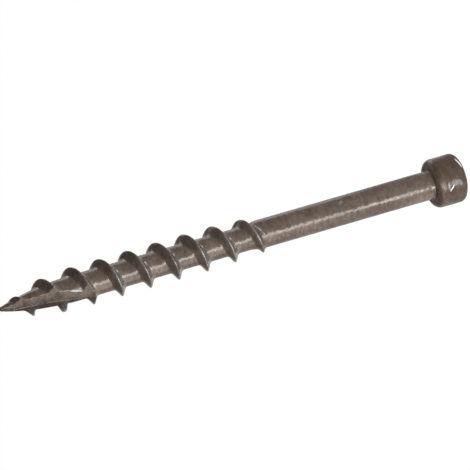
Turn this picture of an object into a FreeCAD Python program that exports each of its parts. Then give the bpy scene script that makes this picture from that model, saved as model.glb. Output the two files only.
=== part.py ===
import FreeCAD, Part

import math
import os

import Sketcher
from FreeCAD import Base

# Pocket hole screw, 50.8 mm long: a small round head with a square drive, a plain shank,
# a coarse right-hand wood thread and a point with a cutting notch. One piece of steel.
# The screw stands on its head: the origin is the centre of the head's top face and the
# axis is Z, with the point up. The notch's cutting wall is parallel to the XZ plane.
# Millimetres.

doc = FreeCAD.newDocument("PocketHoleScrew")
sizes = doc.addObject("Spreadsheet::Sheet", "Sizes")

# Driving sizes, each written once. Places along the axis are heights above the head's
# top face; what is named length or gap of the point, the notch or the tip runs back from
# the tip. Shares are parts of the ridge's full height, and turns are turns of the thread.
DRIVING_SIZES = {
    "overall_length": 50.8,
    "head_diameter": 5.0,
    "head_height": 3.25,
    "head_top_round": 0.6,
    "head_seat_round": 0.7,
    "neck_chamfer": 0.12,
    "shank_diameter": 2.92,
    "shank_end": 22.4,
    "shoulder_length": 1.0,
    "core_diameter": 2.52,
    "core_point_diameter": 2.7,
    "taper_length": 7.8,
    "point_length": 4.0,
    "point_diameter": 2.1,
    "nib_length": 1.1,
    "nib_diameter": 1.0,
    "tip_diameter": 0.4,
    "thread_start": 21.6,
    "thread_start_angle": 243.5,
    "thread_pitch": 3.12,
    "thread_point_stretch": 1.09,
    "thread_diameter": 4.24,
    "thread_tip_gap": 0.9,
    "thread_flank_angle": 30.0,
    "thread_crest_width": 0.1,
    "thread_shank_rise_turns": 0.25,
    "thread_point_rise_turns": 0.45,
    "thread_fade_turns": 1.8,
    "thread_shank_share": 0.6,
    "thread_point_share": 0.78,
    "thread_root_overlap": 0.25,
    "thread_end_overlap": 0.05,
    "drive_width": 2.8,
    "drive_depth": 1.9,
    "drive_taper": 1.5,
    "drive_corner_round": 0.25,
    "drive_cone_depth": 0.5,
    "drive_floor_ledge": 0.12,
    "notch_length": 9.8,
    "notch_tip_offset": 0.15,
    "notch_bend_length": 5.2,
    "notch_bend_offset": 0.5,
    "notch_wall_offset": 0.4,
    "notch_end_clearance": 0.08,
    "notch_exit_angle": 35.0,
}
POINTS_PER_TURN = 9

for row, (alias, value) in enumerate(DRIVING_SIZES.items(), start=1):
    sizes.set(f"A{row}", alias)
    sizes.set(f"B{row}", str(value))
    sizes.setAlias(f"B{row}", alias)
doc.recompute()


def size(alias):
    """A driving size, read back from the sheet."""
    return float(sizes.get(alias))


# Sketches and their ties to the sheet
def new_sketch(body, name, role):
    """An empty sketch on one of the body's own origin planes."""
    sketch = body.newObject("Sketcher::SketchObject", name)
    plane = next(item for item in body.Origin.OriginFeatures if item.Role == role)
    sketch.AttachmentSupport = [(plane, "")]
    sketch.MapMode = "FlatFace"
    return sketch


def add_line(sketch, first, last):
    """A straight line between two (x, y) points; gives its number in the sketch."""
    line = Part.LineSegment(Base.Vector(*first, 0), Base.Vector(*last, 0))
    return sketch.addGeometry(line, False)


def join(sketch, first, second):
    """Makes the end of one line or arc the start of the next."""
    sketch.addConstraint(Sketcher.Constraint("Coincident", first, 2, second, 1))


def tie(sketch, geometry, vertex, x=None, y=None):
    """Ties a point to the sketch's origin: each of x and y is an expression of the sizes,
    or "axis" where the point lies on that axis, or None where it is left free."""
    point = sketch.getPoint(geometry, vertex)
    for kind, axis, start, expression in (
        ("DistanceX", -2, point.x, x),
        ("DistanceY", -1, point.y, y),
    ):
        if expression == "axis":
            on_axis = Sketcher.Constraint("PointOnObject", geometry, vertex, axis)
            sketch.addConstraint(on_axis)
        elif expression is not None:
            distance = Sketcher.Constraint(kind, -1, 1, geometry, vertex, start)
            index = sketch.addConstraint(distance)
            sketch.setExpression(f"Constraints[{index}]", expression)


def draw_polygon(sketch, corners):
    """A closed polygon whose corners are ((x, y), x expression, y expression)."""
    points = [corner[0] for corner in corners]
    lines = [
        add_line(sketch, first, last)
        for first, last in zip(points, points[1:] + points[:1])
    ]
    for first, second in zip(lines, lines[1:] + lines[:1]):
        join(sketch, first, second)
    for line, (_, x, y) in zip(lines, corners):
        tie(sketch, line, 1, x, y)


def add_dress_up(body, kind, name, base, circle, measure, size_name):
    """A fillet or chamfer on the feature before it, along the circular edge about the
    axis whose radius and height are given."""
    radius, height = circle
    edges = [
        f"Edge{number}"
        for number, edge in enumerate(base.Shape.Edges, start=1)
        if isinstance(edge.Curve, Part.Circle)
        and abs(edge.Curve.Radius - radius) < 1e-6
        and abs(edge.Curve.Center.z - height) < 1e-6
    ]
    feature = body.newObject(f"PartDesign::{kind}", name)
    feature.Base = (base, edges)
    feature.setExpression(measure, f"Sizes.{size_name}")
    doc.recompute()
    return feature


def check_cut(feature, before):
    """Recomputes a cutting feature and makes sure that it took metal away."""
    doc.recompute()
    if not feature.Shape.isValid() or feature.Shape.Volume >= before.Shape.Volume:
        raise RuntimeError(f"{feature.Name} cut nothing")


# Blank: head, shank, shoulder, core and a point of three ever steeper cones, turned
length = size("overall_length")
head_radius = size("head_diameter") / 2
head_height = size("head_height")
shank_radius = size("shank_diameter") / 2
core_radius = size("core_diameter") / 2
core_end_radius = size("core_point_diameter") / 2
tip_radius = size("tip_diameter") / 2

body = doc.addObject("PartDesign::Body", "PocketHoleScrew")
body.Label = "pocket_hole_screw"
profile = new_sketch(body, "BlankProfile", "XZ_Plane")
# Each corner is its radius and height, as numbers and as expressions of the sizes
outline = [
    ((0, 0), "axis", "axis"),
    ((head_radius, 0), "Sizes.head_diameter / 2", "axis"),
    ((head_radius, head_height), "Sizes.head_diameter / 2", "Sizes.head_height"),
    ((shank_radius, head_height), "Sizes.shank_diameter / 2", "Sizes.head_height"),
    ((shank_radius, size("shank_end")), "Sizes.shank_diameter / 2", "Sizes.shank_end"),
    (
        (core_radius, size("shank_end") + size("shoulder_length")),
        "Sizes.core_diameter / 2",
        "Sizes.shank_end + Sizes.shoulder_length",
    ),
]
for diameter_name, length_name in (
    ("core_point_diameter", "taper_length"),
    ("point_diameter", "point_length"),
    ("nib_diameter", "nib_length"),
):
    corner = (size(diameter_name) / 2, length - size(length_name))
    height = f"Sizes.overall_length - Sizes.{length_name}"
    outline.append((corner, f"Sizes.{diameter_name} / 2", height))
outline += [
    ((tip_radius, length), "Sizes.tip_diameter / 2", "Sizes.overall_length"),
    ((0, length), "axis", "Sizes.overall_length"),
]
draw_polygon(profile, outline)

blank = body.newObject("PartDesign::Revolution", "Blank")
blank.Profile = profile
blank.ReferenceAxis = (profile, ["V_Axis"])
blank.Angle = 360
doc.recompute()

head_top_round = add_dress_up(
    body, "Fillet", "HeadTopRound", blank, (head_radius, 0), "Radius", "head_top_round"
)
head_seat_round = add_dress_up(
    body,
    "Fillet",
    "HeadSeatRound",
    head_top_round,
    (head_radius, head_height),
    "Radius",
    "head_seat_round",
)
add_dress_up(
    body,
    "Chamfer",
    "NeckChamfer",
    head_seat_round,
    (shank_radius, head_height),
    "Size",
    "neck_chamfer",
)


# Thread: one ridge wound about the core. Its height rises from nothing at both ends, its
# crest follows the taper of the point and its turns are drawn apart there, which no helix
# of one pitch and cone does, so its faces are ruled between curves through points worked
# out for every turn.
thread_start = size("thread_start")
thread_pitch = size("thread_pitch")
thread_radius = size("thread_diameter") / 2
point_stretch = size("thread_point_stretch")
taper_start = length - size("taper_length")
thread_end = length - size("thread_tip_gap")
unstretched_end = taper_start + (thread_end - taper_start) / point_stretch
thread_turns = (unstretched_end - thread_start) / thread_pitch
flank_slope = math.tan(math.radians(size("thread_flank_angle")))
crest_half = size("thread_crest_width") / 2
root_half = crest_half + (thread_radius - core_radius) * flank_slope


def blank_radius(height):
    """The turned blank's radius at a height, from the shank to the tip."""
    corners = [corner for corner, _, _ in outline[3:-1]]
    for (low_radius, low), (high_radius, high) in zip(corners, corners[1:]):
        if height <= high:
            break
    along = (min(height, high) - low) / (high - low)
    return low_radius + (high_radius - low_radius) * along


def ridge_share(turns_from_end, end):
    """The part of its full height that the ridge has near its shank or point end."""
    rise_turns = size(f"thread_{end}_rise_turns")
    rise = math.sin(math.pi / 2 * min(turns_from_end / rise_turns, 1)) ** 2
    end_share = size(f"thread_{end}_share")
    fade = min(turns_from_end / size("thread_fade_turns"), 1)
    return rise * (end_share + (1 - end_share) * fade)


def crest_height(turn):
    """The crest's height, counted in turns from the shank's end of the thread."""
    height = thread_start + thread_pitch * turn
    return height + (point_stretch - 1) * max(height - taper_start, 0)


def crest_radius(turn):
    """The crest's radius, counted in turns from the shank's end of the thread."""
    height = crest_height(turn)
    surface = blank_radius(height)
    on_taper = height > taper_start
    sunk = (surface if on_taper else shank_radius) - size("thread_end_overlap")
    full = thread_radius - (core_end_radius - surface if on_taper else 0)
    share = min(ridge_share(turn, "shank"), ridge_share(thread_turns - turn, "point"))
    return sunk + (full - sunk) * share


def ridge_section(turn):
    """The ridge's four corners at one turn: root, crest, crest and root, going up."""
    height = crest_height(turn)
    angle = math.radians(size("thread_start_angle")) + 2 * math.pi * turn
    crest = crest_radius(turn)
    corners = []
    for side in (-1, 1):
        root = blank_radius(height + side * root_half) - size("thread_root_overlap")
        root = max(root, tip_radius / 2)
        root_reach = crest_half + (crest - root) * flank_slope
        pair = [(root, side * root_reach), (crest, side * crest_half)]
        corners += pair if side < 0 else pair[::-1]
    return [
        Base.Vector(radius * math.cos(angle), radius * math.sin(angle), height + rise)
        for radius, rise in corners
    ]


turn_count = math.ceil(thread_turns)
steps = turn_count * POINTS_PER_TURN
turns = [thread_turns * step / steps for step in range(steps + 1)]
sections = [ridge_section(turn) for turn in turns]
corner_curves = []
for corner in range(4):
    curve = Part.BSplineCurve()
    points = [section[corner] for section in sections]
    curve.interpolate(Points=points, Parameters=turns)
    corner_curves.append(curve)


def turn_edge(curve, number):
    """One turn of a helical edge."""
    piece = curve.copy()
    first = number * POINTS_PER_TURN
    piece.segment(turns[first], turns[first + POINTS_PER_TURN])
    return piece.toShape()


faces = []
for number in range(turn_count):
    ring = [turn_edge(curve, number) for curve in corner_curves]
    for first, second in zip(ring, ring[1:] + ring[:1]):
        faces.append(Part.makeRuledSurface(first, second))
for section in (sections[0], sections[-1]):
    faces.append(Part.Face(Part.makePolygon(section + section[:1])))
ridge_shell = Part.makeShell(faces)
ridge_shell.sewShape()
ridge_solid = Part.Solid(ridge_shell)
if ridge_solid.Volume < 0:
    ridge_solid.reverse()
ridge = doc.addObject("Part::Feature", "ThreadRidge")
ridge.Shape = ridge_solid

threaded = body.newObject("PartDesign::Boolean", "Threaded")
threaded.setObjects([ridge])
threaded.Type = "Fuse"
doc.recompute()


# Square drive: a pocket that narrows a little, with rounded corners and a conical floor
drive_half = size("drive_width") / 2
corner_round = size("drive_corner_round")
corner_place = drive_half - corner_round
square = new_sketch(body, "DriveSquare", "XY_Plane")
drive_sides = []
drive_arcs = []
for quarter in range(4):
    turned = Base.Rotation(Base.Vector(0, 0, 1), 90 * quarter)
    side_ends = [
        turned.multVec(Base.Vector(drive_half, end, 0))
        for end in (-corner_place, corner_place)
    ]
    centre = turned.multVec(Base.Vector(corner_place, corner_place, 0))
    corner = Part.Circle(centre, Base.Vector(0, 0, 1), corner_round)
    start_angle = math.pi / 2 * quarter
    drive_sides.append(square.addGeometry(Part.LineSegment(*side_ends), False))
    arc = Part.ArcOfCircle(corner, start_angle, start_angle + math.pi / 2)
    drive_arcs.append(square.addGeometry(arc, False))
place = "(Sizes.drive_width / 2 - Sizes.drive_corner_round)"
for quarter, (x_sign, y_sign) in enumerate((("", ""), ("-", ""), ("-", "-"), ("", "-"))):
    side, arc = drive_sides[quarter], drive_arcs[quarter]
    next_side = drive_sides[(quarter + 1) % 4]
    square.addConstraint(Sketcher.Constraint("Tangent", side, 2, arc, 1))
    square.addConstraint(Sketcher.Constraint("Tangent", arc, 2, next_side, 1))
    tie(square, arc, 3, x_sign + place, y_sign + place)
    radius = Sketcher.Constraint("Radius", arc, corner_round)
    index = square.addConstraint(radius)
    square.setExpression(f"Constraints[{index}]", "Sizes.drive_corner_round")
drive = body.newObject("PartDesign::Pocket", "Drive")
drive.Profile = square
drive.Reversed = True
drive.setExpression("Length", "Sizes.drive_depth")
drive.setExpression("TaperAngle", "-Sizes.drive_taper")
check_cut(drive, threaded)

drive_depth = size("drive_depth")
wall_lean = drive_depth * math.tan(math.radians(size("drive_taper")))
cone_radius = drive_half - wall_lean - size("drive_floor_ledge")
floor = new_sketch(body, "DriveFloorProfile", "XZ_Plane")
draw_polygon(
    floor,
    [
        ((0, drive_depth), "axis", "Sizes.drive_depth"),
        (
            (cone_radius, drive_depth),
            "Sizes.drive_width / 2 - Sizes.drive_depth * tan(Sizes.drive_taper)"
            " - Sizes.drive_floor_ledge",
            "Sizes.drive_depth",
        ),
        (
            (0, drive_depth + size("drive_cone_depth")),
            "axis",
            "Sizes.drive_depth + Sizes.drive_cone_depth",
        ),
    ],
)
drive_floor = body.newObject("PartDesign::Groove", "DriveFloor")
drive_floor.Profile = floor
drive_floor.ReferenceAxis = (floor, ["V_Axis"])
drive_floor.Angle = 360
check_cut(drive_floor, drive)


# Cutting notch: everything outside a root line, on the +Y side of a wall that stands a
# little behind the axis. The line runs from beside the axis at the tip, with one bend,
# until it is just clear of the core, and goes on out through the ridge at a steeper angle.
notch_out = size("thread_diameter")
notch_root_out = core_end_radius + size("notch_end_clearance")
notch_floor = length - size("notch_length")
exit_slope = math.tan(math.radians(size("notch_exit_angle")))
notch_end = notch_floor - (notch_out - notch_root_out) / exit_slope
root_out = "(Sizes.core_point_diameter / 2 + Sizes.notch_end_clearance)"
floor_height = "Sizes.overall_length - Sizes.notch_length"
above_tip = "Sizes.overall_length + Sizes.thread_diameter"
notch_profile = new_sketch(body, "NotchProfile", "XZ_Plane")
notch_profile.setExpression("AttachmentOffset.Base.z", "Sizes.notch_wall_offset")
draw_polygon(
    notch_profile,
    [
        (
            (size("notch_tip_offset"), length + notch_out),
            "Sizes.notch_tip_offset",
            above_tip,
        ),
        (
            (size("notch_tip_offset"), length),
            "Sizes.notch_tip_offset",
            "Sizes.overall_length",
        ),
        (
            (size("notch_bend_offset"), length - size("notch_bend_length")),
            "Sizes.notch_bend_offset",
            "Sizes.overall_length - Sizes.notch_bend_length",
        ),
        ((notch_root_out, notch_floor), root_out, floor_height),
        (
            (notch_out, notch_end),
            "Sizes.thread_diameter",
            f"{floor_height} - (Sizes.thread_diameter - {root_out})"
            " / tan(Sizes.notch_exit_angle)",
        ),
        ((notch_out, length + notch_out), "Sizes.thread_diameter", above_tip),
    ],
)
notch = body.newObject("PartDesign::Pocket", "Notch")
notch.Profile = notch_profile
notch.setExpression("Length", "Sizes.thread_diameter")
check_cut(notch, drive_floor)


# Checks, then one file for the piece
doc.recompute()
for item in doc.Objects:
    if "Invalid" in item.State or "Error" in item.State:
        raise RuntimeError(f"{item.Name} failed")
if body.Shape.isNull() or not body.Shape.isValid() or len(body.Shape.Solids) != 1:
    raise RuntimeError("the screw isn't one valid solid")
os.makedirs("parts", exist_ok=True)
body.Shape.exportStep(f"parts/{body.Label}.step")
print(f"{body.Label}: {body.Shape.Volume:.2f} cubic millimetres")
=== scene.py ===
import math

import bmesh
import bpy
import numpy as np
from mathutils import Matrix


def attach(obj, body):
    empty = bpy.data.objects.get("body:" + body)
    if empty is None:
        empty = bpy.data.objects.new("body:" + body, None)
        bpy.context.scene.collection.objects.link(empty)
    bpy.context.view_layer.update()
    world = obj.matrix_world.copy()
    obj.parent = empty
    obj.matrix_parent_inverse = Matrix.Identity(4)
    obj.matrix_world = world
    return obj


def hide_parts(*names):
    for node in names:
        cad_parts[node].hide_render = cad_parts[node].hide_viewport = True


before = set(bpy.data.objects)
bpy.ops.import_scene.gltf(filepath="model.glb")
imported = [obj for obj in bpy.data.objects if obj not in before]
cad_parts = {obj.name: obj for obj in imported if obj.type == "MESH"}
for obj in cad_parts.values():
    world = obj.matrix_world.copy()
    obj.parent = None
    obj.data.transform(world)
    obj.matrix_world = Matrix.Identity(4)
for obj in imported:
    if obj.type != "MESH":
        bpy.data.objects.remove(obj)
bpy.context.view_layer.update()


# The screw: one piece of hardened steel wire with a brown-grey coating. The head is struck
# up cold and its square recess punched in the same blow, the coarse thread is rolled
# between flat dies, and the point is nicked on one side so that it cuts its own hole.

# Lengths are in millimetres. The screw stands on its head, with the tip at the top. First
# come the head, the neck above it and the shank.
HEAD_RADIUS = 2.5
HEAD_HEIGHT = 3.25
HEAD_TOP_ROUND = 0.6
HEAD_SEAT_ROUND = 0.7
SHANK_RADIUS = 1.46
NECK_FILLET = 0.12
SHANK_END = 22.4
TIP_HEIGHT = 50.8

# The core under the thread, as radii at heights
TAPER_START = 43.0
CORE_END_RADIUS = 1.35
CORE_HEIGHTS = (3.2, SHANK_END, 23.4, TAPER_START, 45.0, 46.8, 48.4, 49.7, 50.4, 51.4)
CORE_RADII = (SHANK_RADIUS, SHANK_RADIUS, 1.26, CORE_END_RADIUS, 1.23, 1.05, 0.76, 0.49, 0.3, -0.1)
CORE_BLEND = 0.3

# The thread's ridge, and how its height rises and fades towards its two ends
PITCH = 3.12
THREAD_RADIUS = 2.12
THREAD_START = 21.6
THREAD_START_ANGLE = math.radians(243.5)
THREAD_END = 49.9
THREAD_ROWS_BOTTOM, THREAD_ROWS_TOP = 20.8, 50.5
POINT_STRETCH = 1.09
SHANK_RISE_TURNS, SHANK_SHARE = 0.25, 0.6
POINT_RISE_TURNS, POINT_SHARE = 0.45, 0.78
FADE_TURNS = 1.8
RIDGE_SINK = 0.05
CREST_HALF = 0.13
FLANK_SLOPE = math.tan(math.radians(30))
ROOT_FILLET = 0.3

# Two faulty teeth near the tip, one bent over and one curled into a lip
FAULT_TURNS = 0.08
BENT_TURN, BEND = 8.22, 0.17
BENT_TIP_SIDE, BENT_HEAD_SIDE = -0.25, 0.7
CURLED_TURN, CURL_DROP = 7.22, 0.02
LIP_DEPTH, LIP_HALF = 0.75, 0.52

# The notch: its floor and its wall, as distances from the axis at heights
NOTCH_HEIGHTS = (36.0, 41.0, 45.6, TIP_HEIGHT)
NOTCH_OFFSETS = (4.93, 1.43, 0.5, 0.15)
NOTCH_BLEND = 0.7
NOTCH_TURN = math.pi / 2 - 0.01
WALL_HEIGHTS = (38.0, 40.5, 49.3, 50.4)
WALL_OFFSETS = (0.0, 0.4, 0.4, 0.0)
NO_NOTCH = 99

# The square recess, whose walls draw in a little towards a conical floor
SQUARE_HALF = 1.4
SQUARE_CORNER = 0.25
SQUARE_DEPTH = 1.9
SQUARE_TAPER = math.tan(math.radians(1.5))
CONE_DEPTH, CONE_RADIUS = 0.5, 1.23
FOOT_HALF = 1.35
CORNER_BREAK = 0.02


def core_radius(height):
    """The core is a polyline of radius against height, and each value is the mean of the
    polyline over a short window, which rounds its corners."""
    window = CORE_BLEND * np.linspace(-1, 1, 9)
    radii = [np.interp(height + step, CORE_HEIGHTS, CORE_RADII) for step in window]
    return np.mean(radii, axis=0)


def ridge_share(turns_from_end, rise_turns, end_share):
    """A squared sine over the first turns, times a line that climbs from end_share to 1
    over the turns of the fade."""
    turns = np.maximum(turns_from_end, 0)
    rise = np.sin(math.pi / 2 * np.minimum(turns / rise_turns, 1)) ** 2
    return rise * (end_share + (1 - end_share) * np.minimum(turns / FADE_TURNS, 1))


def stretched(height):
    """Heights above the start of the taper are drawn out by the point's stretch."""
    return height + (POINT_STRETCH - 1) * np.maximum(height - TAPER_START, 0)


def unstretched(height):
    """The same the other way round."""
    return height - (1 - 1 / POINT_STRETCH) * np.maximum(height - TAPER_START, 0)


def nearest_crest(height, angle):
    """The nearest turn of the crest at this angle, counted from the shank's end of the
    thread, its height and the share of its full height that the ridge has there. The helix
    climbs one pitch a turn."""
    climb = (unstretched(height) - THREAD_START) / PITCH
    ahead = (angle - THREAD_START_ANGLE) / (2 * math.pi)
    turn = np.round(climb - ahead) + ahead
    last_turn = (unstretched(THREAD_END) - THREAD_START) / PITCH
    share = np.minimum(
        ridge_share(turn, SHANK_RISE_TURNS, SHANK_SHARE),
        ridge_share(last_turn - turn, POINT_RISE_TURNS, POINT_SHARE),
    )
    return turn, stretched(THREAD_START + PITCH * turn), share


def thread_radius(height, angle):
    """The crest's radius less the flank's fall, which is the distance from the crest over
    the flank's slope, with the crest rounded as a hyperbola. Where it is close to the
    core's radius the two join in a fillet, a smooth maximum. Near the tip the crest is bent
    over on one short stretch, and on another it is curled into a round lip, which falls off
    with the third power of the distance."""
    turn, crest_height, share = nearest_crest(height, angle)
    distance = height - crest_height
    core_here = core_radius(crest_height)
    on_taper = crest_height > TAPER_START
    full = THREAD_RADIUS - np.where(on_taper, CORE_END_RADIUS - core_here, 0)
    sunk = np.where(on_taper, core_here, SHANK_RADIUS) - RIDGE_SINK
    crest = sunk + (full - sunk) * share
    bent = np.exp(-(((turn - BENT_TURN) / FAULT_TURNS) ** 2))
    distance = distance + BEND * bent
    steepness = 1 + bent * np.where(distance > 0, BENT_TIP_SIDE, BENT_HEAD_SIDE)
    flank = crest - (np.hypot(distance, CREST_HALF) - CREST_HALF) * steepness / FLANK_SLOPE
    curled = np.exp(-(((turn - CURLED_TURN) / FAULT_TURNS) ** 2))
    lip = crest - CURL_DROP - LIP_DEPTH * np.abs(distance / LIP_HALF) ** 3
    flank = flank + curled * (lip - flank)
    core = core_radius(height)
    nearness = np.maximum(ROOT_FILLET - np.abs(flank - core), 0) / ROOT_FILLET
    fillet = nearness**2 * ROOT_FILLET / 4 * np.minimum(share * 4, 1)
    return np.maximum(flank, core) + fillet


def notch_centre(height):
    """The notch's wall is a plane a little past the axis. The grid's own middle is drawn
    onto that plane, so that the wall starts where the columns start and end."""
    return np.interp(height, WALL_HEIGHTS, WALL_OFFSETS)


def notch_radius(height, angle):
    """The notch's floor is a plane beside the axis, leaning outwards down the screw, so its
    polar radius is the plane's offset over the cosine. It bounds one quarter of the turn,
    and elsewhere the radius is larger than the screw's."""
    window = NOTCH_BLEND * np.linspace(-1, 1, 7)
    offsets = [np.interp(height + step, NOTCH_HEIGHTS, NOTCH_OFFSETS) for step in window]
    offset = np.mean(offsets, axis=0)
    inside = (angle < NOTCH_TURN) & (height > NOTCH_HEIGHTS[0])
    return np.where(inside, offset / np.cos(np.where(inside, angle, 0)), NO_NOTCH)


def meet_thread(row_height, angle):
    """Where the grid's rays, which start at the notch's wall plane, meet the threaded
    surface. From a first guess near the core, radius and height are put right in turn,
    eight times over."""
    first_guess, rounds = 1.3, 8
    radius, height = np.full_like(row_height, first_guess), row_height
    for _ in range(rounds):
        shift = notch_centre(height)
        x, y = radius * np.cos(angle), radius * np.sin(angle) - shift
        true_angle = angle + np.angle((x + 1j * y) * np.exp(-1j * angle))
        height = np.clip(
            stretched(row_height + PITCH * true_angle / (2 * math.pi)),
            THREAD_ROWS_BOTTOM,
            THREAD_ROWS_TOP,
        )
        shift = notch_centre(height)
        along = shift * np.sin(angle)
        reach = thread_radius(height, true_angle) ** 2 - shift**2 + along**2
        radius = along + np.sqrt(np.maximum(reach, 0))
    return radius, height


def square_radius(angle, half):
    """Polar radius of a square with rounded corners: the side's half width over the cosine,
    or the far crossing with the corner's circle."""
    fold = np.abs((angle + math.pi / 4) % (math.pi / 2) - math.pi / 4)
    centre = half - SQUARE_CORNER
    side = half / np.cos(fold)
    inside = SQUARE_CORNER**2 - (centre * (np.cos(fold) - np.sin(fold))) ** 2
    corner = centre * (np.cos(fold) + np.sin(fold)) + np.sqrt(np.maximum(inside, 0))
    return np.where(half * np.tan(fold) <= centre, side, corner)


def quarter_round(radius, height, size, start, steps):
    """Points of a quarter circle about (radius, height), from the start angle in degrees on."""
    turn = np.radians(start) + np.linspace(0, math.pi / 2, steps)
    return np.column_stack([radius + size * np.cos(turn), height + size * np.sin(turn)])


# Columns run round the axis, one degree apart in the notch's quarter and close together at
# the recess's other three corners. The first and the last column lie at the same angle: the
# notch's wall, a plane just past the axis, stands between them. Each span has its start, end
# and step in degrees.
COLUMN_SPANS = (
    (0, 84, 1.0),
    (84, 124, 2.5),
    (124, 146, 1.4),
    (146, 214, 2.6),
    (214, 236, 1.4),
    (236, 304, 2.6),
    (304, 326, 1.4),
)
last_columns = np.linspace(326, 360, 14)
columns = np.radians(
    np.concatenate([*(np.arange(*span) for span in COLUMN_SPANS), last_columns])
)

# Recess rows, from the middle of its conical floor out to the head's end face
recess_rows = []
wall_foot = square_radius(columns, SQUARE_HALF - SQUARE_DEPTH * SQUARE_TAPER)
for share in (0.0, 0.35, 0.7, 0.92, 1.0):
    spread = CONE_RADIUS + (wall_foot - FOOT_HALF) * share
    radius = share * np.minimum(wall_foot - CORNER_BREAK, spread)
    depth = SQUARE_DEPTH + CONE_DEPTH * np.maximum(1 - radius / CONE_RADIUS, 0)
    recess_rows.append(np.stack([radius, depth]))
for depth in (SQUARE_DEPTH - CORNER_BREAK, 1.7, 1.3, 0.9, 0.5, 0.2, 0.06):
    radius = square_radius(columns, SQUARE_HALF - depth * SQUARE_TAPER)
    recess_rows.append(np.stack([radius, np.full_like(columns, depth)]))
mouth = square_radius(columns, SQUARE_HALF)
for step_out, depth in ((0.3 * CORNER_BREAK, 0.75 * CORNER_BREAK), (CORNER_BREAK, 0)):
    recess_rows.append(np.stack([mouth + step_out, np.full_like(columns, depth)]))

# Turned rows: the head's two roundings with its side between them, the neck and the shank,
# whose rows lie close together about the dent
top_centre = (HEAD_RADIUS - HEAD_TOP_ROUND, HEAD_TOP_ROUND)
seat_centre = (HEAD_RADIUS - HEAD_SEAT_ROUND, HEAD_HEIGHT - HEAD_SEAT_ROUND)
neck_centre = (SHANK_RADIUS + NECK_FILLET, HEAD_HEIGHT + NECK_FILLET)
side_heights = np.linspace(0.8, 2.4, 6)
turned_profile = np.concatenate(
    [
        quarter_round(*top_centre, HEAD_TOP_ROUND, -90, 12),
        np.column_stack([np.full_like(side_heights, HEAD_RADIUS), side_heights]),
        quarter_round(*seat_centre, HEAD_SEAT_ROUND, 0, 12),
        quarter_round(*neck_centre, NECK_FILLET, 180, 5)[::-1],
    ]
)
turned_rows = [
    np.stack([np.full_like(columns, radius), np.full_like(columns, height)])
    for radius, height in turned_profile
]
shank_heights = np.concatenate(
    [np.linspace(3.6, 12.6, 30), np.linspace(12.9, 13.9, 21), np.linspace(14.2, 20.6, 22)]
)
shank_rows = [
    np.stack([core_radius(np.full_like(columns, height)), np.full_like(columns, height)])
    for height in shank_heights
]

# Thread rows follow the helix, so that one row lies on the crest all the way up. They are
# cut off level at both ends, where the points that fall together are merged.
ridge_steps = (0.03, 0.06, 0.1, 0.17, 0.25, 0.34, 0.42, 0.49, 0.56, 0.65, 0.78, 0.98, 1.25)
turn_steps = np.array([*(-step for step in ridge_steps[::-1]), 0, *ridge_steps, PITCH / 2])
first_crest = THREAD_START - PITCH * THREAD_START_ANGLE / (2 * math.pi)
first_turn = math.floor((THREAD_ROWS_BOTTOM - first_crest) / PITCH) - 1
last_turn = math.ceil((unstretched(THREAD_ROWS_TOP) - first_crest) / PITCH)
turn_numbers = np.arange(first_turn, last_turn + 1)
row_heights = (first_crest + PITCH * turn_numbers[:, None] + turn_steps).ravel()
angles, row_grid = np.meshgrid(columns, row_heights)
radii, heights = meet_thread(row_grid, angles)
radii = np.minimum(radii, notch_radius(heights, angles))
thread_rows = np.stack([radii, heights], axis=1)

# Tip rows: a small blunt dome, which the notch's floor cuts too
tip_profile = (
    (0.262, 50.56),
    (0.24, 50.63),
    (0.2, 50.7),
    (0.14, 50.76),
    (0.07, 50.79),
    (0, TIP_HEIGHT),
)
tip_rows = []
for radius, height in tip_profile:
    level = np.full_like(columns, height)
    tip_rows.append(np.stack([np.minimum(radius, notch_radius(level, columns)), level]))

rows = np.concatenate([recess_rows, turned_rows, shank_rows, thread_rows, tip_rows])
grid_radius, grid_height = rows[:, 0], rows[:, 1]
grid_angle = np.broadcast_to(columns, grid_radius.shape)

# The dent on the shank, a shallow round hollow: its depth falls off with the square of the
# distance as a bell curve
DENT_HEIGHT, DENT_ANGLE = 13.4, math.radians(85)
DENT_DEPTH, DENT_RADIUS = 0.09, 0.2
away = np.hypot(grid_height - DENT_HEIGHT, (grid_angle - DENT_ANGLE) * SHANK_RADIUS)
grid_radius = grid_radius - DENT_DEPTH * np.exp(-((away / DENT_RADIUS) ** 2))

# The grid becomes the mesh. The notch's wall joins the last column to the first: in the
# thread one turn of rows apart, because rows climb one pitch a turn, and level at the tip.
MILLIMETRE = 0.001
grid_x = grid_radius * np.cos(grid_angle)
grid_y = grid_radius * np.sin(grid_angle) - notch_centre(grid_height)
points = MILLIMETRE * np.stack([grid_x, grid_y, grid_height], axis=-1)
number = np.arange(grid_radius.size).reshape(grid_radius.shape)
surface = np.stack(
    [number[:-1, :-1], number[:-1, 1:], number[1:, 1:], number[1:, :-1]], axis=-1
).reshape(-1, 4)
thread_number = number[-len(tip_rows) - len(thread_rows) : -len(tip_rows)]
per_turn = len(turn_steps)
tip_number = number[-len(tip_rows) - 1 :]
walls = []
for outer, inner in (
    (thread_number[:-per_turn, -1], thread_number[per_turn:, 0]),
    (tip_number[:, -1], tip_number[:, 0]),
):
    walls.append(np.stack([inner[:-1], inner[1:], outer[1:], outer[:-1]], axis=-1))
faces = np.concatenate([surface, *walls])

screw_mesh = bpy.data.meshes.new("pocket_screw")
screw_mesh.from_pydata(points.reshape(-1, 3), [], faces)

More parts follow.
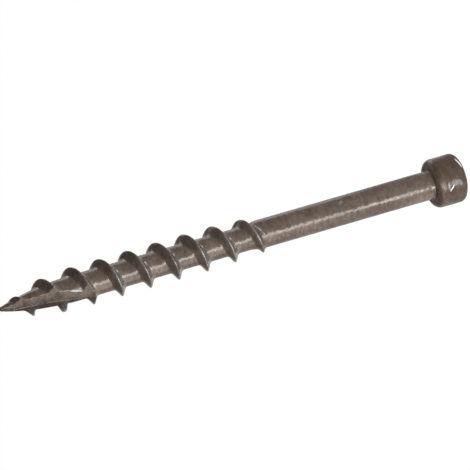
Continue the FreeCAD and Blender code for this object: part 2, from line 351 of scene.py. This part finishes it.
# Attributes for the coat: the crest, the flank that faces the head, from the end of the
# first turn on, which is painted with a sheen, and the notch's cut faces. The first two are
# bell curves along the axis and fade where the ridge has less than a third of its height.
CREST_BAND = 0.09
FLANK_BELOW_CREST, FLANK_BAND = 0.42, 0.3
FLANK_FROM_TURN, FLANK_RISE_TURNS = 0.8, 0.3
TOUCHING = 1e-6
turn, crest_height, share = nearest_crest(grid_height, np.arctan2(grid_y, grid_x))
from_crest = grid_height - crest_height
past_first_turn = np.clip((turn - FLANK_FROM_TURN) / FLANK_RISE_TURNS, 0, 1)
cut = notch_radius(grid_height, grid_angle) < grid_radius + TOUCHING
rolled = np.clip(share * 3, 0, 1) * (grid_height > THREAD_ROWS_BOTTOM) * ~cut
from_flank = from_crest + FLANK_BELOW_CREST
for name, mask in (
    ("crest", rolled * np.exp(-((from_crest / CREST_BAND) ** 2))),
    ("lee_flank", rolled * past_first_turn * np.exp(-((from_flank / FLANK_BAND) ** 2))),
    ("cut_face", cut),
):
    attribute = screw_mesh.attributes.new(name, "FLOAT", "POINT")
    attribute.data.foreach_set("value", mask.ravel().astype(np.float32))

# Points that fall together are merged, and edges that turn by more than 38 degrees are sharp
MERGE_DISTANCE = 1e-6
SHARP_EDGE = math.radians(38)
shell = bmesh.new()
shell.from_mesh(screw_mesh)
bmesh.ops.remove_doubles(shell, verts=shell.verts, dist=MERGE_DISTANCE)
shell.to_mesh(screw_mesh)
shell.free()
screw_mesh.shade_smooth()
screw_mesh.set_sharp_from_angle(angle=SHARP_EDGE)
screw = bpy.data.objects.new("coated_screw", screw_mesh)
bpy.context.scene.collection.objects.link(screw)


def new_group(name, inputs, outputs):
    """A shader node group. Inputs are (name, default), a vector where the default is three
    numbers, and outputs are names of masks."""
    group = bpy.data.node_groups.new(name, "ShaderNodeTree")
    group.interface.new_socket("Vector", in_out="INPUT", socket_type="NodeSocketVector")
    for socket, value in inputs:
        kind = "NodeSocketVector" if isinstance(value, tuple) else "NodeSocketFloat"
        made = group.interface.new_socket(socket, in_out="INPUT", socket_type=kind)
        made.default_value = value
    for socket in outputs:
        group.interface.new_socket(socket, in_out="OUTPUT", socket_type="NodeSocketFloat")
    return group, group.nodes.new("NodeGroupInput"), group.nodes.new("NodeGroupOutput")


def add_node(tree, kind, links=None, **settings):
    """A node with its settings, whose inputs are numbers or come from other sockets."""
    node = tree.nodes.new(kind)
    for setting, value in settings.items():
        setattr(node, setting, value)
    for socket, source in (links or {}).items():
        if isinstance(source, bpy.types.NodeSocket):
            tree.links.new(source, node.inputs[socket])
        else:
            node.inputs[socket].default_value = source
    return node


def combine(tree, operation, first, second):
    """The result of a Math node on two numbers or sockets."""
    node = add_node(tree, "ShaderNodeMath", {0: first, 1: second}, operation=operation)
    return node.outputs[0]


def combine_vectors(tree, operation, first, second):
    """The same for a Vector Math node, which is returned whole."""
    return add_node(tree, "ShaderNodeVectorMath", {0: first, 1: second}, operation=operation)


def remap(tree, value, span, result, interpolation="LINEAR"):
    """The result of a Map Range node, which carries the ends of the span to the two
    results and stays there beyond them."""
    links = {
        "Value": value,
        "From Min": span[0],
        "From Max": span[1],
        "To Min": result[0],
        "To Max": result[1],
    }
    node = add_node(tree, "ShaderNodeMapRange", links, interpolation_type=interpolation)
    return node.outputs["Result"]


def blend_colours(tree, share, first, second, blend_type="MIX"):
    """The colour socket of a Mix node between two colours, numbers or sockets."""
    links = {0: share, 6: first, 7: second}
    mixed = add_node(tree, "ShaderNodeMix", links, data_type="RGBA", blend_type=blend_type)
    return mixed.outputs[2]


# Coating mottle: broad clouds in the dip coat's tone, and the dimples that the wire's
# drawing left in the steel, drawn out round the screw. Two masks.
mottle, mottle_in, mottle_out = new_group(
    "coating_mottle",
    [("Cloud scale", 500.0), ("Dimple scale", 3000.0), ("Dimple stretch", (0.5, 0.5, 1.0))],
    ["Clouds", "Dimples"],
)
clouds = add_node(
    mottle,
    "ShaderNodeTexNoise",
    {
        "Vector": mottle_in.outputs["Vector"],
        "Scale": mottle_in.outputs["Cloud scale"],
        "Detail": 3.0,
        "Roughness": 0.6,
    },
)
squeezed = combine_vectors(
    mottle, "MULTIPLY", mottle_in.outputs["Vector"], mottle_in.outputs["Dimple stretch"]
)
dimples = add_node(
    mottle,
    "ShaderNodeTexNoise",
    {
        "Vector": squeezed.outputs[0],
        "Scale": mottle_in.outputs["Dimple scale"],
        "Detail": 1.0,
        "Roughness": 0.5,
    },
)
mottle.links.new(clouds.outputs["Fac"], mottle_out.inputs["Clouds"])
mottle.links.new(dimples.outputs["Fac"], mottle_out.inputs["Dimples"])

# Mark: where the coating was knocked or rubbed off, and also painted highlights, glints
# and a painted shadow. A mask that is 1 on a short straight stretch about a place and falls
# off over the mark's half length and half width.
mark_group, mark_in, mark_out = new_group(
    "coat_and_light_mark",
    [("Place", (0, 0, 0)), ("Along", (0, 0, 1)), ("Half length", 0.0003), ("Half width", 0.0001)],
    ["Mask"],
)
offset = combine_vectors(mark_group, "SUBTRACT", mark_in.outputs["Vector"], mark_in.outputs["Place"])
lengthwise = combine_vectors(mark_group, "DOT_PRODUCT", offset.outputs[0], mark_in.outputs["Along"])
sideways = combine_vectors(mark_group, "CROSS_PRODUCT", offset.outputs[0], mark_in.outputs["Along"])
across_mark = add_node(
    mark_group, "ShaderNodeVectorMath", {0: sideways.outputs[0]}, operation="LENGTH"
)
squares = []
for measure, half in (
    (lengthwise.outputs["Value"], "Half length"),
    (across_mark.outputs["Value"], "Half width"),
):
    share = combine(mark_group, "DIVIDE", measure, mark_in.outputs[half])
    squares.append(combine(mark_group, "POWER", share, 2.0))
total = combine(mark_group, "ADD", *squares)
FALL_OFF = (0.3, 1.6)
mark_mask = remap(mark_group, total, FALL_OFF, (1.0, 0.0), "SMOOTHSTEP")
mark_group.links.new(mark_mask, mark_out.inputs["Mask"])

# The coat: a brown-grey dip, cloudy in tone
WHITE = (1, 1, 1, 1)
CLOUD_POSITIONS = (0.35, 0.68)
CLOUD_COLOURS = ((0.088, 0.059, 0.044, 1), (0.119, 0.081, 0.061, 1))
coated_steel = bpy.data.materials.new("coated_steel")
coated_steel.use_nodes = True
tree = coated_steel.node_tree
shader = tree.nodes["Principled BSDF"]
place = add_node(tree, "ShaderNodeTexCoord").outputs["Object"]
height_above_floor = add_node(tree, "ShaderNodeSeparateXYZ", {"Vector": place}).outputs["Z"]
patches = add_node(tree, "ShaderNodeGroup", {"Vector": place}, node_tree=mottle)
coat_colour = add_node(tree, "ShaderNodeValToRGB", {"Fac": patches.outputs["Clouds"]})
for stop, position, colour in zip(
    coat_colour.color_ramp.elements, CLOUD_POSITIONS, CLOUD_COLOURS
):
    stop.position, stop.color = position, colour

# The head is painted darker and browner than the shank: painted shade over the whole head
HEAD_EDGE = (0.0031, 0.0034)
HEAD_SHADE = (0.64, 0.57, 0.51, 1)
above_head = remap(tree, height_above_floor, HEAD_EDGE, (0, 1))
head_shade = blend_colours(tree, above_head, HEAD_SHADE, WHITE)
shaded = blend_colours(tree, 1.0, coat_colour.outputs["Color"], head_shade, "MULTIPLY")

# The notch's cut faces have one even tone, a little paler than the coat
CUT_COLOUR = (0.14, 0.1, 0.077, 1)
cut_face = add_node(tree, "ShaderNodeAttribute", attribute_name="cut_face").outputs["Fac"]
notched = blend_colours(tree, cut_face, shaded, CUT_COLOUR)

# Bare steel shows along the crest, in broken stretches, and where the screw was knocked. The
# same pale steel paints the marks below that are painted highlights and glints
BROKEN_CLOUDS = (0.4, 0.6)
CREST_BARED = 0.12
crest = add_node(tree, "ShaderNodeAttribute", attribute_name="crest").outputs["Fac"]
broken = remap(tree, patches.outputs["Clouds"], BROKEN_CLOUDS, (0, 1), "SMOOTHSTEP")
crest_share = combine(tree, "MULTIPLY", broken, CREST_BARED)
wear_and_glints = combine(tree, "MULTIPLY", crest, crest_share)

# Each mark: turn from the camera's side in degrees, height and radius of its two ends in
# millimetres, its half width and its share of pale steel. Most are painted highlights and glints
CAMERA_POLAR = math.radians(53)
bare_and_lit_marks = [
    # Painted highlight: a bright line along the head's rounded end edge
    ((20, 0.28, 2.42), (46, 0.56, 2.5), 0.12, 1.0),
    # A scratch on the head's side, painted as bright as the glint it throws
    ((-28, 2.1, 2.5), (-15, 1.61, 2.5), 0.06, 0.9),
    # Painted highlight: three faint patches on the head's side
    ((-26, 2.2, 2.5), (-8, 2.15, 2.5), 0.13, 0.13),
    ((-12, 1.95, 2.5), (-11, 0.85, 2.5), 0.3, 0.09),
    ((-22, 0.85, 2.5), (-8, 0.9, 2.5), 0.2, 0.09),
    # A pale hook of three strokes along the thread's run-out
    ((46, 22.81, 1.39), (28, 22.58, 1.43), 0.05, 0.4),
    ((28, 22.58, 1.43), (10, 22.36, 1.46), 0.05, 0.4),
    ((10, 22.36, 1.46), (-8, 22.13, 1.46), 0.05, 0.25),
    # A faint pale mark over the dent
    ((24, 13.55, 1.45), (40, 13.2, 1.45), 0.19, 0.13),
    # Painted highlight: a bright line along the notch's inner corner, in two strokes
    ((-116, 50.0, 0.45), (-93, 46.0, 0.62), 0.06, 0.25),
    ((-93, 46.0, 0.62), (-71, 42.0, 1.29), 0.07, 0.18),
    # Painted highlight on the core along the upper edge of the notch's floor
    ((-8.5, 43.55, 1.3), (-21.6, 42.35, 1.34), 0.08, 0.5),
]

# Painted highlights: pale marks at the roots below five crests, on the side of the camera
ROOT_RADIUS, ROOT_BELOW_CREST, ROOT_DROP = 1.38, 0.55, 0.1
ROOT_HALF_WIDTH, ROOT_GLINT_SHARE = 0.12, 0.6
CAMERA_SIDE_TURN = 0.205
for turn_number in range(2, 7):
    crest_there = first_crest + PITCH * (turn_number + CAMERA_SIDE_TURN)
    root_height = crest_there - ROOT_BELOW_CREST
    ends = ((26, root_height, ROOT_RADIUS), (10, root_height - ROOT_DROP, ROOT_RADIUS))
    bare_and_lit_marks.append((*ends, ROOT_HALF_WIDTH, ROOT_GLINT_SHARE))
for *ends, half_width, mark_share in bare_and_lit_marks:
    end_turns, end_heights, end_radii = np.transpose(ends)
    polars = CAMERA_POLAR + np.radians(end_turns)
    first, last = MILLIMETRE * np.column_stack(
        [end_radii * np.cos(polars), end_radii * np.sin(polars), end_heights]
    )
    reach = np.linalg.norm(last - first)
    mark_node = add_node(
        tree,
        "ShaderNodeGroup",
        {
            "Vector": place,
            "Place": (first + last) / 2,
            "Along": (last - first) / reach,
            "Half length": reach / 2,
            "Half width": half_width * MILLIMETRE,
        },
        node_tree=mark_group,
    )
    marked = combine(tree, "MULTIPLY", mark_node.outputs["Mask"], mark_share)
    wear_and_glints = combine(tree, "MAXIMUM", wear_and_glints, marked)

# The flank that faces the head is painted paler than the one that faces the point, a painted
# sheen, and the coat is speckled all over
LEE_SHEEN_COLOUR, LEE_SHEEN_SHARE = (0.24, 0.19, 0.16, 1), 0.6
SPECKLE = (0.82, 1.18)
lee_flank = add_node(tree, "ShaderNodeAttribute", attribute_name="lee_flank").outputs["Fac"]
lee_sheen_share = combine(tree, "MULTIPLY", lee_flank, LEE_SHEEN_SHARE)
sheened_coat = blend_colours(tree, lee_sheen_share, notched, LEE_SHEEN_COLOUR)
speckle = remap(tree, patches.outputs["Dimples"], (0.3, 0.7), SPECKLE)
speckled = blend_colours(tree, 1.0, sheened_coat, speckle, "MULTIPLY")

# Where the thread runs out a painted shadow lies: the dark shadow of a burr, broken up by the
# dimples
BURR_SHADOW_COLOUR = (0.02, 0.015, 0.014, 1)
BURR_SHADOW_TURN, BURR_SHADOW_RADIUS, BURR_SHADOW_HEIGHT = 48, 0.00145, 0.02215
BURR_SHADOW_HALF_LENGTH, BURR_SHADOW_HALF_WIDTH = 0.00028, 0.0002
BURR_SHADOW_SHARE = 0.8
shadow_polar = CAMERA_POLAR + math.radians(BURR_SHADOW_TURN)
shadow_x, shadow_y = BURR_SHADOW_RADIUS * math.cos(shadow_polar), BURR_SHADOW_RADIUS * math.sin(shadow_polar)
painted_burr_shadow = add_node(
    tree,
    "ShaderNodeGroup",
    {
        "Vector": place,
        "Place": (shadow_x, shadow_y, BURR_SHADOW_HEIGHT),
        "Half length": BURR_SHADOW_HALF_LENGTH,
        "Half width": BURR_SHADOW_HALF_WIDTH,
    },
    node_tree=mark_group,
)
shadow_strength = remap(tree, patches.outputs["Dimples"], (0.4, 0.6), (0, BURR_SHADOW_SHARE))
shadow_mask = combine(tree, "MULTIPLY", painted_burr_shadow.outputs["Mask"], shadow_strength)
shadowed_coat = blend_colours(tree, shadow_mask, speckled, BURR_SHADOW_COLOUR)

# The bare steel and the painted glints come last, over all of the coat's tones
STEEL_AND_GLINT_COLOUR = (0.75, 0.72, 0.68, 1)
worn_and_lit = blend_colours(tree, wear_and_glints, shadowed_coat, STEEL_AND_GLINT_COLOUR)
tree.links.new(worn_and_lit, shader.inputs["Base Color"])

# The dimples are shallower on the paler flank
DIMPLE_HEIGHT = 0.00005
PALE_FLANK_DIMPLES = 0.25
dimple_share = remap(tree, lee_flank, (0, 1), (1.0, PALE_FLANK_DIMPLES))
dimple_depth = combine(tree, "MULTIPLY", patches.outputs["Dimples"], dimple_share)
bump = add_node(
    tree, "ShaderNodeBump", {"Height": dimple_depth, "Strength": 1.0, "Distance": DIMPLE_HEIGHT}
)
tree.links.new(bump.outputs["Normal"], shader.inputs["Normal"])

# The gloss changes with the clouds, and the head is duller
COAT_ROUGHNESS = (0.16, 0.29)
HEAD_DULLNESS = 1.6
COAT_METALLIC = 0.4
SPECULAR_TINT = (0.45, 0.45, 0.45, 1)
head_dullness = remap(tree, height_above_floor, HEAD_EDGE, (HEAD_DULLNESS, 1.0))
coat_roughness = remap(tree, patches.outputs["Clouds"], (0.35, 0.65), COAT_ROUGHNESS)
roughness = combine(tree, "MULTIPLY", coat_roughness, head_dullness)
tree.links.new(roughness, shader.inputs["Roughness"])
shader.inputs["Metallic"].default_value = COAT_METALLIC
shader.inputs["Specular Tint"].default_value = SPECULAR_TINT
screw_mesh.materials.append(coated_steel)
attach(screw, "root")
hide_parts("pocket_hole_screw")


# The floor: a wide sheet of matt white paper, laid flat just under the screw and lit until
# it shows plain white. Seen directly or in the metal it glows, and a tenth of its matt
# surface stays, which takes a faint shadow. To all other light it is plain paper.
PAPER_HALF, PAPER_DROP = 3.0, 2e-5
GLOW = 0.96
MATT_UNSEEN, MATT_SEEN = 0.9, 0.1
floor_corners = [
    (x * PAPER_HALF, y * PAPER_HALF, -PAPER_DROP) for x, y in ((-1, -1), (1, -1), (1, 1), (-1, 1))
]
floor_mesh = bpy.data.meshes.new("floor")
floor_mesh.from_pydata(floor_corners, [], [(0, 1, 2, 3)])
floor = bpy.data.objects.new("floor", floor_mesh)
bpy.context.scene.collection.objects.link(floor)
paper = bpy.data.materials.new("white_paper")
paper.use_nodes = True
tree = paper.node_tree
tree.nodes.remove(tree.nodes["Principled BSDF"])
output = tree.nodes["Material Output"]
rays = add_node(tree, "ShaderNodeLightPath").outputs
mirrored = combine(tree, "MAXIMUM", rays["Is Glossy Ray"], rays["Is Transmission Ray"])
seen = combine(tree, "MAXIMUM", rays["Is Camera Ray"], mirrored)
whiteness = remap(tree, seen, (0, 1), (MATT_UNSEEN, MATT_SEEN))
matt = add_node(tree, "ShaderNodeBsdfDiffuse", {"Color": whiteness})
glow_strength = combine(tree, "MULTIPLY", seen, GLOW)
glow = add_node(tree, "ShaderNodeEmission", {"Color": WHITE, "Strength": glow_strength})
mix = add_node(tree, "ShaderNodeAddShader", {0: matt.outputs[0], 1: glow.outputs[0]})
tree.links.new(mix.outputs[0], output.inputs["Surface"])
floor_mesh.materials.append(paper)


# The camera: the photograph's long lens, raised 20.5 degrees, turned on its side and tilted
# by 16 degrees, so that the standing screw lies across the picture. The tip is the nearer
# end. The picture's width is what the camera sees at the screw's distance, in metres.
CAMERA_ELEVATION = math.radians(20.5)
CAMERA_DISTANCE = 1.8
PICTURE_WIDTH = 0.04677
SENSOR_WIDTH = 36
TILT_COSINE, TILT_SINE = 0.96046, 0.27844
AIM_HEIGHT, AIM_ACROSS = 0.024673, 0.000616
flat_out = np.array([math.cos(CAMERA_POLAR), math.sin(CAMERA_POLAR), 0])
upright = np.array([0, 0, 1.0])
to_camera = math.cos(CAMERA_ELEVATION) * flat_out + math.sin(CAMERA_ELEVATION) * upright
to_head = math.sin(CAMERA_ELEVATION) * flat_out - math.cos(CAMERA_ELEVATION) * upright
across = np.array([-math.sin(CAMERA_POLAR), math.cos(CAMERA_POLAR), 0])
picture_right = TILT_COSINE * to_head - TILT_SINE * across
picture_up = TILT_SINE * to_head + TILT_COSINE * across
aim = AIM_HEIGHT * upright + AIM_ACROSS * across
camera_data = bpy.data.cameras.new("camera")
camera_data.sensor_width = SENSOR_WIDTH
camera_data.lens = SENSOR_WIDTH * CAMERA_DISTANCE / PICTURE_WIDTH
camera_data.clip_start, camera_data.clip_end = 0.01, 20
camera = bpy.data.objects.new("camera", camera_data)
bpy.context.scene.collection.objects.link(camera)
stand = np.eye(4)
stand[:3, 0], stand[:3, 1], stand[:3, 2] = picture_right, picture_up, to_camera
stand[:3, 3] = aim + CAMERA_DISTANCE * to_camera
camera.matrix_world = Matrix(stand)
bpy.context.scene.camera = camera


# The lights: a wide soft box and a dimmer one on the picture's lower side, narrow strips
# that draw the bright line along the shank, and boxes behind the screw that light its upper
# rim. Short ones by the floor do the same for the head. The world adds light all round.
COOL_WHITE, COOLER_WHITE = (0.87, 0.97, 1), (0.71, 0.88, 1)


def add_soft_box(name, turn, distance, width, height, brightness, colour=COOL_WHITE):
    """An upright rectangular lamp that stands on the floor beside the screw, turned from
    the camera's side by an angle in degrees about the screw's axis. Its sizes are in
    metres, and a brightness of 1 is white."""
    lamp = bpy.data.lights.new(name, "AREA")
    lamp.shape, lamp.size, lamp.size_y = "RECTANGLE", width, height
    lamp.energy = brightness * math.pi * width * height
    lamp.color = colour
    polar = CAMERA_POLAR + math.radians(turn)
    back = np.array([math.cos(polar), math.sin(polar), 0])
    box = np.eye(4)
    box[:3, 0], box[:3, 1], box[:3, 2] = np.cross(upright, back), upright, back
    box[:3, 3] = distance * back + height / 2 * upright
    holder = bpy.data.objects.new(name, lamp)
    bpy.context.scene.collection.objects.link(holder)
    holder.matrix_world = Matrix(box)
    holder.visible_camera = False


add_soft_box("key_light", -68, 0.06, 0.035, 0.06, 2.4)
add_soft_box("fill_light", -46, 0.03, 0.011, 0.05, 1.3)
add_soft_box("rim_light", 125, 0.3, 0.12, 0.05, 4.0)
add_soft_box("rim_line_light", 122, 0.03, 0.016, 0.05, 1.6)
add_soft_box("head_rim_light", 125, 0.005, 0.004, 0.0025, 0.9)
add_soft_box("head_key_light", -95, 0.007, 0.008, 0.004, 0.9)
add_soft_box("line_light_0", -24, 0.03, 0.0105, 0.05, 10.5, COOLER_WHITE)
add_soft_box("line_light_1", -24, 0.012, 0.004, 0.007, 9.0, COOLER_WHITE)
add_soft_box("line_light_2", -24, 0.006, 0.003, 0.003, 2.0, COOLER_WHITE)

# The world is white below and at the horizon and dims upwards
WORLD_BOTTOM, WORLD_TOP = 1.0, 0.35
world = bpy.data.worlds.new("studio")
bpy.context.scene.world = world
world.use_nodes = True
tree = world.node_tree
background = tree.nodes["Background"]
direction = add_node(tree, "ShaderNodeTexCoord").outputs["Generated"]
upward = add_node(tree, "ShaderNodeSeparateXYZ", {"Vector": direction}).outputs["Z"]
brightness = remap(tree, upward, (0, 0.3), (WORLD_BOTTOM, WORLD_TOP), "SMOOTHSTEP")
background.inputs["Color"].default_value = WHITE
tree.links.new(brightness, background.inputs["Strength"])
bpy.context.scene.view_settings.view_transform = "Standard"
